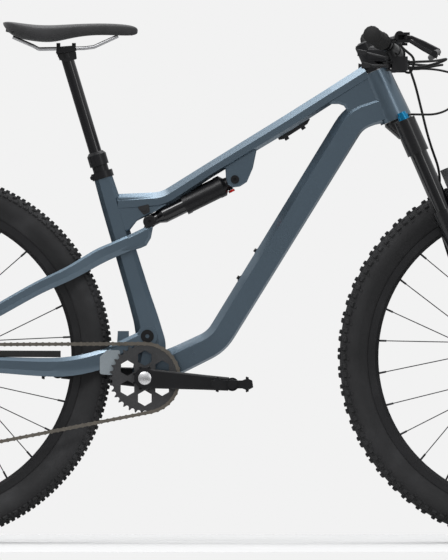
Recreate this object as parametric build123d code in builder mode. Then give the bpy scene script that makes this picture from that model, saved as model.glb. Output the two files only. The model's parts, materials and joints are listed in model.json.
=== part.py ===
from build123d import *
import os
from math import sin, cos, tan, asin, acos, atan2, pi, radians, degrees, hypot, sqrt

os.makedirs("parts", exist_ok=True)

# Full-suspension mountain bike, 29 inch wheels. Millimetres, +X forward, +Z up,
# drive side at -Y. Origin on the ground, midway between the axles.

# ---------------------------------------------------------------- driving dimensions
tyre_r = 372.0
tyre_half_width = 30.0
rim_inner_r = 290.0
rim_outer_r = 311.0
rim_half_width = 17.0
spoke_count = 28
spoke_r = 1.0
front_axle_x = 597.0
rear_axle_x = -597.0
axle_z = 372.0
bb_x, bb_z = -160.0, 330.0
crank_length = 175.0
ring_teeth, cog_teeth, pulley_teeth = 34, 12, 12
pitch = 12.7
roller_r = 3.8
ring_y, cog_y = -52.0, -62.0
head_angle = 66.5
fork_offset = 44.0
leg_offset = 14.0
leg_y = 65.0
stanchion_r = 17.0
seat_top = (-258.8, 782.0)
seat_angle = 73.2
pivot_x, pivot_z = -155.0, 413.8
shock_front = (20.0, 727.0)
shock_rear = (-150.5, 643.0)
bar_x, bar_z = 341.0, 978.0
bar_half = 380.0
back_sweep, up_sweep = 9.0, 5.0
fit = 0.05

ux, uz = -cos(radians(head_angle)), sin(radians(head_angle))
nx, nz = uz, -ux
px0 = front_axle_x - fork_offset * nx
pz0 = axle_z - fork_offset * nz
sx, sz = -cos(radians(seat_angle)), sin(radians(seat_angle))


# ---------------------------------------------------------------- placing helpers
def st(s, off=0.0, y=0.0):
    """Point s up the steering axis, off ahead of it."""
    return (px0 + s * ux + off * nx, y, pz0 + s * uz + off * nz)


def se(s, off=0.0, y=0.0):
    """Point s up the seat tube from the dropper collar, off ahead of it."""
    return (seat_top[0] + s * sx + off * sz, y, seat_top[1] + s * sz - off * sx)


shock_length = hypot(shock_rear[0] - shock_front[0], shock_rear[1] - shock_front[1])
gx = (shock_rear[0] - shock_front[0]) / shock_length
gz = (shock_rear[1] - shock_front[1]) / shock_length


def sh(s, off=0.0, y=0.0):
    """Point s from the front eye toward the rear eye, off above the shock."""
    return (shock_front[0] + s * gx + off * gz, y, shock_front[1] + s * gz - off * gx)


def rod(p, q, r, r2=None):
    """Round bar or cone between two points."""
    span = Vector(*q) - Vector(*p)
    with BuildPart(mode=Mode.PRIVATE) as b:
        with BuildSketch(Plane(origin=p, z_dir=span)):
            Circle(r)
        if r2 is None:
            extrude(amount=span.length)
        else:
            with BuildSketch(Plane(origin=q, z_dir=span)):
                Circle(r2)
            loft()
    return b.part


def ring(p, q, r_out, r_in):
    """Hollow round bar between two points."""
    span = Vector(*q) - Vector(*p)
    with BuildPart(mode=Mode.PRIVATE) as b:
        with BuildSketch(Plane(origin=p, z_dir=span)):
            Circle(r_out)
            Circle(r_in, mode=Mode.SUBTRACT)
        extrude(amount=span.length)
    return b.part


def block(x, y, z, a, b, c):
    """Box about its centre."""
    with BuildPart(mode=Mode.PRIVATE) as box:
        with Locations((x, y, z)):
            Box(a, b, c)
    return box.part


def disc(x, z, r, y0, y1, hole=0.0):
    """Disc about a line along Y, from y0 to y1."""
    if hole:
        return ring((x, y0, z), (x, y1, z), r, hole)
    return rod((x, y0, z), (x, y1, z), r)


def plate(points, y0, y1, corner=0.0):
    """Side-view outline extruded across, from y0 to y1."""
    with BuildPart(mode=Mode.PRIVATE) as b:
        with BuildSketch(Plane.XZ.offset(-y1)) as sk:
            with BuildLine():
                Polyline(*points, close=True)
            make_face()
            if corner:
                fillet(sk.vertices(), corner)
        extrude(amount=y1 - y0)
    return b.part


def shell(stations):
    """Ruled loft through rounded boxes: (point, direction, width across, height, corner)."""
    with BuildPart(mode=Mode.PRIVATE) as b:
        for point, way, width, height, corner in stations:
            with BuildSketch(Plane(origin=point, x_dir=(0, 1, 0), z_dir=way)):
                RectangleRounded(width, height, corner)
        loft(ruled=True)
    return b.part


def limb(stations):
    """Ruled loft along a route off the centre plane, sections kept upright."""
    with BuildPart(mode=Mode.PRIVATE) as b:
        for (x, y, z), (wx, wz), width, height, corner in stations:
            with BuildSketch(Plane(origin=(x, y, z), x_dir=(0, 1, 0), z_dir=(wx, 0, wz))):
                RectangleRounded(width, height, corner)
        loft(ruled=True)
    return b.part


def lathe(x, z, profile):
    """Profile of (y, radius) points turned about a line along Y."""
    with BuildPart(mode=Mode.PRIVATE) as b:
        with BuildSketch(Plane(origin=(x, 0, z), x_dir=(0, 1, 0), z_dir=(1, 0, 0))):
            with BuildLine():
                Polyline(*profile, close=True)
            make_face()
        revolve(axis=Axis((x, 0, z), (0, 1, 0)))
    return b.part


def save(body, name):
    body.part.label = name
    export_step(body.part, f"parts/{name}.step")


def save_group(solids, name):
    """Separate solids kept apart under one name."""
    group = Compound(solids)
    group.label = name
    export_step(group, f"parts/{name}.step")


# ---------------------------------------------------------------- chain route
def turn_lines(wheels):
    """Travel direction of each straight run between signed circles, in order."""
    ways = []
    for i, (x1, z1, a1, n1) in enumerate(wheels):
        x2, z2, a2, n2 = wheels[(i + 1) % len(wheels)]
        span = hypot(x2 - x1, z2 - z1)
        ways.append(atan2(z2 - z1, x2 - x1) - asin((a1 - a2) / span))
    return ways


def cage_wheels(angle):
    """Chainring, tension pulley, guide pulley and cog; + is clockwise."""
    r = [pitch / (2 * sin(pi / n)) for n in (ring_teeth, pulley_teeth, pulley_teeth, cog_teeth)]
    tx = guide[0] + cage_length * cos(angle)
    tz = guide[1] + cage_length * sin(angle)
    return [(bb_x, bb_z, r[0], ring_teeth), (tx, tz, r[1], pulley_teeth),
            (guide[0], guide[1], -r[2], pulley_teeth), (rear_axle_x, axle_z, r[3], cog_teeth)]


def route(wheels):
    """Runs as (kind, length, data) round the whole loop."""
    ways = turn_lines(wheels)
    runs = []
    for i, (x, z, a, n) in enumerate(wheels):
        before, after = ways[i - 1], ways[i]
        swing = (before - after) % (2 * pi) if a > 0 else (after - before) % (2 * pi)
        runs.append(("arc", swing * n * pitch / (2 * pi), (x, z, a, n, before)))
        x2, z2, a2, n2 = wheels[(i + 1) % len(wheels)]
        start = (x - a * sin(after), z + a * cos(after))
        end = (x2 - a2 * sin(after), z2 + a2 * cos(after))
        runs.append(("line", hypot(end[0] - start[0], end[1] - start[1]), (start, end)))
    return runs


def along(runs, s):
    """Point of the chain's pitch line at length s, and the wheel it is on."""
    for kind, length, data in runs:
        if s <= length:
            if kind == "line":
                (x1, z1), (x2, z2) = data
                f = s / length
                return x1 + (x2 - x1) * f, z1 + (z2 - z1) * f, None
            x, z, a, n, before = data
            turned = s / (n * pitch / (2 * pi))
            way = before - turned if a > 0 else before + turned
            return x - a * sin(way), z + a * cos(way), (x, z)
        s -= length
    return along(runs, 0.0)


guide = (-590.0, 265.0)
cage_length = 90.0
low, high = radians(-140.0), radians(-122.0)
links = 2 * round(sum(r[1] for r in route(cage_wheels(radians(-131.0)))) / pitch / 2)
lean_high = sum(r[1] for r in route(cage_wheels(high))) > sum(r[1] for r in route(cage_wheels(low)))
for step in range(50):
    cage_angle = (low + high) / 2
    too_long = sum(r[1] for r in route(cage_wheels(cage_angle))) > links * pitch
    if too_long == lean_high:
        high = cage_angle
    else:
        low = cage_angle
wheels = cage_wheels(cage_angle)
runs = route(wheels)
tension = (wheels[1][0], wheels[1][1])
joints_at = [along(runs, i * pitch) for i in range(links)]
print("chain links", links, "cage angle", round(degrees(cage_angle), 2), "tension pulley", tension)
print("loop", round(sum(r[1] for r in runs), 3), "of", links * pitch)


def chain_y(x):
    """Chain line from the chainring plane to the cog plane."""
    f = min(1.0, max(0.0, (bb_x - 75.0 - x) / 300.0))
    return ring_y + (cog_y - ring_y) * f


def phase(x, z):
    """Angle of one seated roller about a wheel."""
    seated = [degrees(atan2(j[1] - z, j[0] - x)) for j in joints_at if j[2] == (x, z)]
    return seated[len(seated) // 2]


def sprocket(x, z, teeth, y0, y1, angle, bore, tip=2.6):
    """Toothed disc with a roller seat at the given angle."""
    r = pitch / (2 * sin(pi / teeth))
    step = 360.0 / teeth
    outline = []
    for k in range(teeth):
        a = radians(angle + k * step)
        for turn in (-85, -45, 0, 45, 85):
            b = radians(turn)
            rad, side = r - 4.15 * cos(b), 4.15 * sin(b)
            outline.append((x + rad * cos(a) - side * sin(a), z + rad * sin(a) + side * cos(a)))
        for side in (-0.6, 0.6):
            b = a + radians(step / 2) + side / (r + tip)
            outline.append((x + (r + tip) * cos(b), z + (r + tip) * sin(b)))
    with BuildPart(mode=Mode.PRIVATE) as b:
        with BuildSketch(Plane.XZ.offset(-y1)):
            with BuildLine():
                Polyline(*outline, close=True)
            make_face()
            with Locations((x, z)):
                Circle(bore, mode=Mode.SUBTRACT)
        extrude(amount=y1 - y0)
    return b.part


# ---------------------------------------------------------------- front frame
dt = (0.53, 0.848)
down_outer = [
    (st(600, -14), (dt[0], 0, dt[1]), 52, 54, 16),
    ((248.7, 0, 828.0), (dt[0], 0, dt[1]), 56, 53, 16),
    ((120.0, 0, 622.0), (dt[0], 0, dt[1]), 60, 53, 15),
    ((8.7, 0, 444.0), (dt[0], 0, dt[1]), 62, 53, 14),
    ((-18.0, 0, 409.0), (0.72, 0, 0.69), 62, 54, 14),
    ((-50.0, 0, 384.0), (0.88, 0, 0.47), 60, 54, 13),
    ((-90.0, 0, 367.0), (0.95, 0, 0.3), 56, 56, 13),
    ((-135.0, 0, 356.0), (0.98, 0, 0.2), 50, 60, 13)]
tt = (cos(radians(32.1)), sin(radians(32.1)))
top_outer = [
    ((-214.0, 0, 681.0), (1, 0, 0), 38, 36, 11),
    ((-150.0, 0, 683.0), (0.99, 0, 0.12), 42, 33, 11),
    ((-95.0, 0, 708.0), (0.86, 0, 0.5), 46, 27, 11),
    ((-20.0, 0, 752.0), (tt[0], 0, tt[1]), 50, 29, 11),
    ((120.0, 0, 841.0), (tt[0], 0, tt[1]), 48, 26, 10),
    ((240.0, 0, 917.0), (tt[0], 0, tt[1]), 44, 30, 11),
    (st(610, -8), (tt[0], 0, tt[1]), 44, 40, 12)]
seat_outer = [
    (se(-51), (sx, 0, sz), 37, 37, 17),
    (se(-110), (sx, 0, sz), 38, 40, 16),
    (se(-300), (sx, 0, sz), 38, 40, 16),
    (se(-385, -4), (sx, 0, sz), 42, 52, 16),
    ((-156.0, 0, 345.0), (0, 0, 1), 46, 60, 16)]


def thinner(stations, wall):
    return [(p, w, a - 2 * wall, h - 2 * wall, c - wall) for p, w, a, h, c in stations]


down_solid = shell(down_outer)
top_solid = shell(top_outer)
seat_solid = shell(seat_outer)
head_solid = rod(st(538), st(643), 32.5, 28.5)
gusset = [(-214, 690), (-105, 690), (-110, 682), (-144, 660), (-176, 644), (-190, 626), (-214, 632)]
head_web = [(210, 878), (230, 878), (241, 872), (243, 862), (238, 852), (274, 830), (294, 835),
            (326, 842), (290, 930), (250, 925), (210, 902)]
with BuildPart() as front_frame:
    add(down_solid)
    add(top_solid)
    add(seat_solid)
    add(head_solid)
    add(disc(bb_x, bb_z, 24.0, -36.5, 36.5))
    add(disc(pivot_x, pivot_z, 19.0, -21.5, 21.5))
    add(plate([(6, 760), (66, 796), (52, 742), (20, 712), (6, 717)], -19, 19))
    add(plate([(-206, 690), (-138, 690), (-142, 674), (-178, 652), (-206, 640)], -17, 17))
    for lo in (-17.0, 14.5):
        add(plate(gusset, lo, lo + 2.5))
    add(plate(head_web, -16, 16))
    add(shell(thinner(down_outer[1:7], 2.5)), mode=Mode.SUBTRACT)
    add(shell(thinner(top_outer[3:6], 2.5)), mode=Mode.SUBTRACT)
    add(rod(st(537), st(644), 21.0), mode=Mode.SUBTRACT)
    add(rod(st(537), st(547), 26.0), mode=Mode.SUBTRACT)
    add(rod(st(634), st(644), 23.0), mode=Mode.SUBTRACT)
    add(rod(se(-340), se(-40), 15.8), mode=Mode.SUBTRACT)
    add(disc(bb_x, bb_z, 20.8, -40, 40), mode=Mode.SUBTRACT)
    add(disc(pivot_x, pivot_z, 11.0, -25, 25), mode=Mode.SUBTRACT)
    add(disc(shock_front[0], shock_front[1], 5.0, -30, 30), mode=Mode.SUBTRACT)
    add(plate([(-2, 690), (-2, 738), (28, 748), (44, 732), (34, 690)], -13.5, 13.5), mode=Mode.SUBTRACT)
    add(rod(sh(27), sh(150), 22.6), mode=Mode.SUBTRACT)
    for bx, bz in ((63.8, 583.4), (29.8, 529.0)):
        add(rod((bx + 8.5, 0, bz - 5.3), (bx - 17, 0, bz + 10.6), 3.6), mode=Mode.SUBTRACT)
    add(disc(-162.4, 668.8, 3.0, -30, 30), mode=Mode.SUBTRACT)
save(front_frame, "front_frame")

with BuildPart() as headset_bearings:
    add(ring(st(537.5), st(547), 26.0, 20.0))
    add(ring(st(634), st(644), 23.0, 14.35))

with BuildPart() as bb_cups:
    for side in (-1, 1):
        add(disc(bb_x, bb_z, 20.8, side * 24, side * 36.5, 14.55))
        add(disc(bb_x, bb_z, 23.5, side * 36.5, side * 41.5, 14.55))
save_group(headset_bearings.part.solids() + bb_cups.part.solids(), "frame_bearings")

with BuildPart() as main_pivot_axle:
    add(disc(pivot_x, pivot_z, 7.5, -43.5, 43.5))
    for side in (-1, 1):
        add(disc(pivot_x, pivot_z, 11.0, side * 6, side * 21.5))
        add(disc(pivot_x, pivot_z, 13.0, side * 43.3, side * 46))
    add(disc(pivot_x, pivot_z, 4.0, -47, -41), mode=Mode.SUBTRACT)

with BuildPart() as seat_clamp:
    add(ring(se(-55), se(-41), 22.0, 18.6))
    add(ring(se(-51), se(-41), 19.5, 15.8))
    add(rod(se(-48, -21, -9), se(-48, -21, 9), 4.6))
    add(front_frame.part, mode=Mode.SUBTRACT)
    add(rod(se(-60), se(-30), 15.8), mode=Mode.SUBTRACT)
save(seat_clamp, "seat_clamp")

with BuildPart() as dropper_outer_tube:
    add(rod(se(-300), se(-28), 15.8))
    add(rod(se(-28), se(-6), 19.3))
    add(rod(se(-6), se(0), 19.3, 14.5))
    add(rod(se(-296), se(1), 12.65), mode=Mode.SUBTRACT)
save(dropper_outer_tube, "dropper_outer_tube")

with BuildPart() as bottle_inserts:
    for bx, bz in ((63.8, 583.4), (29.8, 529.0)):
        add(rod((bx + 7.6, 0, bz - 4.75), (bx - 0.35, 0, bz + 0.22), 3.6))
        add(rod((bx - 0.35, 0, bz + 0.22), (bx - 1.6, 0, bz + 1.0), 6.0))
        add(rod((bx + 9, 0, bz - 5.625), (bx - 3, 0, bz + 1.875), 2.5), mode=Mode.SUBTRACT)


with BuildPart() as tool_mount:
    add(plate([(106, 810), (168, 850), (170, 847), (165, 838), (118, 808), (108, 806)], -7, 7))
    for mx, mz in ((122, 812), (155, 833)):
        add(rod((mx, 0, mz), (mx + 3.4, 0, mz - 5.4), 4.5))
    add(front_frame.part, mode=Mode.SUBTRACT)
save_group(bottle_inserts.part.solids() + tool_mount.part.solids(), "bottle_inserts")

with BuildPart() as pivot_cover:
    for side in (-1, 1):
        add(plate([(-176, 672), (-152, 678), (-150, 662), (-162, 656)], min(side * 17, side * 21.2), max(side * 17, side * 21.2), 3))
    add(disc(-162.4, 668.8, 3.0, -19, 19))
    add(disc(-162.4, 668.8, 5.0, -22.6, -21.2))
    add(front_frame.part, mode=Mode.SUBTRACT)
save(pivot_cover, "pivot_cover")

with BuildPart() as shock_bolt:
    add(disc(shock_front[0], shock_front[1], 5.0, -19, 19))
    add(disc(shock_front[0], shock_front[1], 8.5, -22, -19))
    add(disc(shock_front[0], shock_front[1], 8.5, 19, 22))
    add(disc(shock_front[0], shock_front[1], 3.0, -23, -19.5), mode=Mode.SUBTRACT)
save_group(main_pivot_axle.part.solids() + shock_bolt.part.solids(), "frame_pivot_bolts")

# ---------------------------------------------------------------- rear shock
with BuildPart() as shock_can:
    add(disc(shock_front[0], shock_front[1], 10.5, -12, 12))
    add(rod(sh(6), sh(21), 11.0, 12.8))
    add(rod(sh(21), sh(28), 12.8, 21.8))
    add(rod(sh(28), sh(40), 21.8))
    add(rod(sh(40), sh(104), 20.8))
    add(rod(sh(104), sh(114), 21.8))
    add(rod(sh(16, -6), sh(16, -15), 5.0))
    add(rod(sh(44), sh(107), 18.2), mode=Mode.SUBTRACT)
    add(rod(sh(100), sh(116), 17.05), mode=Mode.SUBTRACT)
    add(disc(shock_front[0], shock_front[1], 5.05, -14, 14), mode=Mode.SUBTRACT)
save(shock_can, "shock_can")

with BuildPart() as shock_lever:
    add(rod(sh(16, -15.3), sh(16, -20), 6.5))
    add(rod(sh(16, -17.6), sh(16, -17.6, -15), 2.1))
save(shock_lever, "shock_lever")

with BuildPart() as shock_shaft:
    add(rod(sh(90), sh(160), 17.0))
    add(rod(sh(90), sh(98), 18.1))
    add(rod(sh(160), sh(172), 17.0, 12.0))
    add(rod(sh(172), sh(186), 12.0))
    add(disc(shock_rear[0], shock_rear[1], 13.2, -13, 13))
    add(disc(shock_rear[0], shock_rear[1], 10.2, -14, 14), mode=Mode.SUBTRACT)
save(shock_shaft, "shock_shaft")

# ---------------------------------------------------------------- dropper post and saddle
with BuildPart() as dropper_stanchion:
    add(rod(se(-122), se(200), 12.6))
    add(rod(se(196), se(206), 16.0))
    add(plate([(-336, 976), (-298, 984), (-296, 968), (-318, 962), (-330, 966)], -15, 15, 2.5))
save(dropper_stanchion, "dropper_stanchion")

rail_mid = 989.5
with BuildPart() as saddle_rails:
    for side in (-1, 1):
        rail = [(-424, side * 26, 1012), (-383, side * 24, 994), (-372, side * 22, rail_mid - 1.6),
                (-282, side * 22, rail_mid), (-262, side * 20, 992), (-214, side * 11, 1014)]
        with BuildLine() as path:
            FilletPolyline(*rail, radius=9)
        with BuildSketch(Plane(origin=path.line @ 0, z_dir=path.line % 0)):
            Circle(3.5)
        sweep(path=path.line)
save(saddle_rails, "saddle_rails")

with BuildPart() as saddle_clamp:
    add(plate([(-338, 978), (-336, 992), (-300, 995), (-296, 985), (-318, 980.5)], -27, 27, 2))
    add(plate([(-336, 976.2), (-297, 984.4), (-300, 995), (-336, 992)], -14, 14))
    add(saddle_rails.part, mode=Mode.SUBTRACT)
    add(dropper_stanchion.part, mode=Mode.SUBTRACT)
    for bx in (-333.0, -302.0):
        add(rod((bx, 0, 985), (bx, 0, 1000), 4.0))
save(saddle_clamp, "saddle_clamp")

saddle_body = [(-438, 62, 1026, 10), (-425, 120, 1024, 16), (-390, 142, 1021, 20), (-350, 128, 1020, 20),
               (-310, 92, 1021, 20), (-270, 62, 1023, 20), (-220, 46, 1023, 20), (-185, 38, 1020, 18)]
with BuildPart() as saddle_shell:
    add(shell([((x, 0, z - 1), (1, 0, 0), w - 8, 0.45 * h, 0.17 * h) for x, w, z, h in saddle_body]))
    add(saddle_rails.part, mode=Mode.SUBTRACT)
save(saddle_shell, "saddle_shell")

with BuildPart() as saddle_cover:
    add(shell([((x, 0, z + 3), (1, 0, 0), w, h + 8, h / 2.6) for x, w, z, h in saddle_body]))
    add(saddle_shell.part, mode=Mode.SUBTRACT)
    add(saddle_rails.part, mode=Mode.SUBTRACT)
    for side in (-1, 1):
        add(rod((-440, side * 30, 1004), (-382, side * 24, 1004), 14), mode=Mode.SUBTRACT)
        add(rod((-240, side * 13, 1001), (-180, side * 9, 1008), 10), mode=Mode.SUBTRACT)
save(saddle_cover, "saddle_cover")

# ---------------------------------------------------------------- fork and cockpit
with BuildPart() as fork_crown:
    add(shell([(st(498, 10, 0), (ux, 0, uz), 104, 40, 18), (st(533, 2, 0), (ux, 0, uz), 88, 58, 24)]))
    for side in (-1, 1):
        add(rod(st(458, leg_offset, side * leg_y), st(530, leg_offset, side * leg_y), 21.5))
        add(rod(st(440, leg_offset, side * leg_y), st(526, leg_offset, side * leg_y), stanchion_r), mode=Mode.SUBTRACT)
    add(rod(st(533), st(537), 25.5))
    add(rod(st(537), st(548), 19.9))
    add(rod(st(548), st(700), 14.3))
    add(rod(st(540), st(702), 12.0), mode=Mode.SUBTRACT)
save(fork_crown, "fork_crown")

with BuildPart() as fork_stanchions:
    for side in (-1, 1):
        add(rod(st(150, leg_offset, side * leg_y), st(526, leg_offset, side * leg_y), stanchion_r))
        add(rod(st(140, leg_offset, side * leg_y), st(500, leg_offset, side * leg_y), 15.0), mode=Mode.SUBTRACT)


with BuildPart() as fork_knob:
    add(rod(st(530.2, leg_offset, -leg_y), st(540, leg_offset, -leg_y), 11.5))
    add(rod(st(540, leg_offset, -leg_y), st(546, leg_offset, -leg_y), 9.0))
save(fork_knob, "fork_knob")

with BuildPart() as fork_air_cap:
    add(rod(st(530, leg_offset, leg_y), st(537, leg_offset, leg_y), 12.0))
save_group(fork_stanchions.part.solids() + fork_air_cap.part.solids(), "fork_stanchions")

with BuildPart() as headset_spacers:
    add(ring(st(644.5), st(652), 26.0, 14.3))
    add(ring(st(652), st(657), 17.5, 14.3))
    add(rod(st(700), st(703), 17.0))
    add(rod(st(703), st(706), 15.0, 9.0))


stem_mid = st(678.5)
stem_way = Vector(bar_x - stem_mid[0], 0, bar_z - stem_mid[2])
with BuildPart() as stem:
    add(rod(st(657), st(700), 18.5))
    add(shell([(stem_mid, stem_way, 38, 36, 10), ((bar_x - 8, 0, bar_z - 1), stem_way, 46, 34, 10)]))
    add(disc(bar_x, bar_z, 20.0, -24, 24))
    add(rod(st(650), st(700), 14.3), mode=Mode.SUBTRACT)
    add(disc(bar_x, bar_z, 15.9, -30, 30), mode=Mode.SUBTRACT)
    add(headset_spacers.part, mode=Mode.SUBTRACT)
    add(block(bar_x + 30.6, 0, bar_z, 60, 60, 60), mode=Mode.SUBTRACT)


with BuildPart() as stem_faceplate:
    add(disc(bar_x, bar_z, 20.0, -24, 24))
    add(block(bar_x - 29.4, 0, bar_z, 60, 60, 60), mode=Mode.SUBTRACT)
    for dy in (-17, 17):
        for dz in (-18.5, 18.5):
            add(rod((bar_x + 0.7, dy, bar_z + dz), (bar_x + 13, dy, bar_z + dz), 4.2))
            add(rod((bar_x + 10, dy, bar_z + dz), (bar_x + 14, dy, bar_z + dz), 2.0), mode=Mode.SUBTRACT)
    add(disc(bar_x, bar_z, 15.9, -30, 30), mode=Mode.SUBTRACT)
stem_solids = headset_spacers.part.solids() + stem.part.solids() + stem_faceplate.part.solids()
save_group(stem_solids, "stem")

bar_run = bar_half - 62.0
bar_end = (bar_x - bar_run * tan(radians(back_sweep)), bar_z + 6 + bar_run * tan(radians(up_sweep)))


def on_bar(y):
    """Point of the bar's centre line at a given distance out."""
    f = (abs(y) - 62.0) / bar_run
    return (bar_x + (bar_end[0] - bar_x) * f, y, bar_z + 6 + (bar_end[1] - bar_z - 6) * f)


with BuildPart() as handlebar:
    add(disc(bar_x, bar_z, 15.9, -34, 34))
    for side in (-1, 1):
        add(rod((bar_x, side * 34, bar_z), on_bar(side * 75), 15.9, 12.5))
        add(rod(on_bar(side * 74), on_bar(side * (bar_half - 1)), 11.1))
        add(rod(on_bar(side * 90), on_bar(side * (bar_half + 4)), 9.0), mode=Mode.SUBTRACT)
save(handlebar, "handlebar")

with BuildPart() as grips:
    for side in (-1, 1):
        add(rod(on_bar(side * 252), on_bar(side * 262), 18.0))
        add(rod(on_bar(side * 262), on_bar(side * (bar_half - 6)), 16.0))
        add(rod(on_bar(side * (bar_half - 6)), on_bar(side * bar_half), 17.5))
        add(rod(on_bar(side * 245), on_bar(side * (bar_half - 0.9)), 11.1), mode=Mode.SUBTRACT)
save(grips, "grips")

with BuildPart() as brake_masters:
    for side in (-1, 1):
        add(rod(on_bar(side * 205), on_bar(side * 217), 15.5))
        add(rod(on_bar(side * 195), on_bar(side * 227), 11.1), mode=Mode.SUBTRACT)
        p = on_bar(side * 211)
        add(rod((p[0] + 12, p[1], p[2] + 6), (p[0] + 30, p[1] + side * 4, p[2] + 10), 6.5))
        add(rod((p[0] + 28, side * 168, p[2] + 8), (p[0] + 30, side * 238, p[2] + 14), 10.0))
        add(rod((p[0] + 28, side * 150, p[2] + 6.5), (p[0] + 28, side * 168, p[2] + 8), 5.0))
        add(block(p[0] + 38, side * 235, p[2] + 11, 24, 20, 20))
        add(block(p[0] + 42, side * 238, p[2] + 11, 30, 30, 9.4), mode=Mode.SUBTRACT)
        add(rod((p[0] + 42, side * 236, p[2] - 8), (p[0] + 42, side * 236, p[2] + 28), 3.05), mode=Mode.SUBTRACT)
save(brake_masters, "brake_masters")
q = on_bar(211.0)
print("brake lever pivots", q[0] + 42, q[2] + 11)

for name, side in (("brake_lever_right", -1), ("brake_lever_left", 1)):
    with BuildPart() as brake_lever:
        zc = q[2] + 11
        add(rod((q[0] + 42, side * 236, zc - 4.2), (q[0] + 42, side * 236, zc + 4.2), 6.0))
        add(rod((q[0] + 42, side * 236, zc - 10), (q[0] + 42, side * 236, zc + 10), 3.0))
        add(limb([((q[0] + 42, side * 236, zc), (1, 0), 9, 8, 2), ((q[0] + 54, side * 240, zc - 0.3), (1, 0), 9, 8, 2),
                  ((q[0] + 80, side * 246, zc - 14), (1, 0), 10, 13, 3),
                  ((q[0] + 110, side * 256, zc - 30), (1, 0), 10, 14, 3)]))
        add(rod((q[0] + 106, side * 252, zc - 29), (q[0] + 98, side * 322, zc - 33), 6.0))
    save(brake_lever, name)


# ---------------------------------------------------------------- shifter and remote
def thumb_body(side):
    """Clamp, housing and the lugs that carry vertical lever pins."""
    with BuildPart(mode=Mode.PRIVATE) as b:
        p = on_bar(side * 172)
        add(rod(on_bar(side * 166), on_bar(side * 178), 13.8))
        add(rod((p[0], p[1], p[2]), (p[0] + 14, p[1], p[2] - 30), 6.0))
        add(rod(on_bar(side * 150), on_bar(side * 190), 11.1), mode=Mode.SUBTRACT)
        with Locations((349, side * 165, 957)):
            Box(30, 44, 28)
        fillet(b.edges().filter_by(Axis.Z).group_by(Axis.X)[-1], 6)
        for z in (944.0, 960.4, 976.8):
            add(block(332, side * 156, z, 22, 14, 3.6))
        add(rod((326, side * 156, 943), (326, side * 156, 978), 3.0))
        add(rod((362, side * 158, 960), (368, side * 158, 960), 4.0))
    return b.part


def thumb_lever(side, z, tip, thick):
    """Paddle on a vertical pin, reaching back under the bar."""
    with BuildPart(mode=Mode.PRIVATE) as b:
        add(rod((326, side * 156, z - 4), (326, side * 156, z + 4), 7.0))
        add(rod((320, side * 155, z), (tip[0] + 8, side * tip[1], tip[2]), 3.2))
        add(shell([((tip[0] + 10, side * tip[1], tip[2]), (-1, 0, 0), thick, 9, 2),
                   ((tip[0] - 8, side * tip[1], tip[2] + 1), (-1, 0, 0), thick, 14, 2)]))
        add(rod((326, side * 156, z - 9), (326, side * 156, z + 9), 3.0 + fit), mode=Mode.SUBTRACT)
    return b.part


with BuildPart() as shifter_body:
    add(thumb_body(-1))


with BuildPart() as remote_body:
    add(thumb_body(1))
save_group(shifter_body.part.solids() + remote_body.part.solids(), "thumb_lever_bodies")

with BuildPart() as shift_lever_up:
    add(thumb_lever(-1, 968.6, (272, 146, 978), 16))
save(shift_lever_up, "shift_lever_up")

with BuildPart() as shift_lever_down:
    add(thumb_lever(-1, 952.2, (280, 148, 953), 12))
save(shift_lever_down, "shift_lever_down")

with BuildPart() as remote_lever:
    add(thumb_lever(1, 952.2, (276, 146, 953), 18))
save(remote_lever, "remote_lever")


def hose(points, r):
    """Cable along straight runs and tangent arcs."""
    radii = []
    for a, b, c in zip(points, points[1:], points[2:]):
        before, after = Vector(*b) - Vector(*a), Vector(*c) - Vector(*b)
        half = radians(before.get_angle(after)) / 2
        radii.append(0.45 * min(before.length, after.length) / tan(half))
    print("cable radii", [round(v) for v in radii])
    with BuildPart(mode=Mode.PRIVATE) as b:
        with BuildLine() as path:
            FilletPolyline(*points, radius=radii)
        with BuildSketch(Plane(origin=path.line @ 0, z_dir=path.line % 0)):
            Circle(r)
        sweep(path=path.line)
    print("cable length", round(sum(e.length for e in path.edges()), 1))
    return b.part


port = st(650.0, 25)
with BuildPart() as control_cables:
    add(hose([(368, -158, 960), (420, -150, 962), (446, -110, 968), (430, -64, 960), (378, -40, 948),
              (port[0] - 4, -16, port[2])], 2.5))
    add(hose([(368, 158, 960), (416, 152, 956), (440, 114, 958), (426, 68, 956), (378, 42, 946),
              (port[0] - 4, 16, port[2])], 2.5))
    add(hose([(q[0] + 28, -150, q[2] + 6.5), (q[0] + 34, -108, q[2] - 6), (q[0] + 64, -62, q[2] - 30), (q[0] + 52, -26, q[2] - 62),
              (port[0] + 26, -9, port[2] - 6), (port[0] - 1, 0, port[2])], 2.5))
    add(hose([(364, 140, 950), (420, 128, 950), (468, 90, 938), (484, 30, 914), (470, -30, 884), (430, -60, 856),
              (st(536, 27, -leg_y)[0], -leg_y, st(536, 27, -leg_y)[2])], 2.2))
    add(rod(st(536, 27, -leg_y), st(536, 22, -leg_y), 3.0))
    add(rod((362, 140, 950), (364, 140, 950), 2.2))
    add(headset_spacers.part, mode=Mode.SUBTRACT)
    add(fork_crown.part, mode=Mode.SUBTRACT)
    add(stem.part, mode=Mode.SUBTRACT)
    add(fork_knob.part, mode=Mode.SUBTRACT)
    add(remote_body.part, mode=Mode.SUBTRACT)
    add(shifter_body.part, mode=Mode.SUBTRACT)
    add(brake_masters.part, mode=Mode.SUBTRACT)
save(control_cables, "control_cables")

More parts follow.
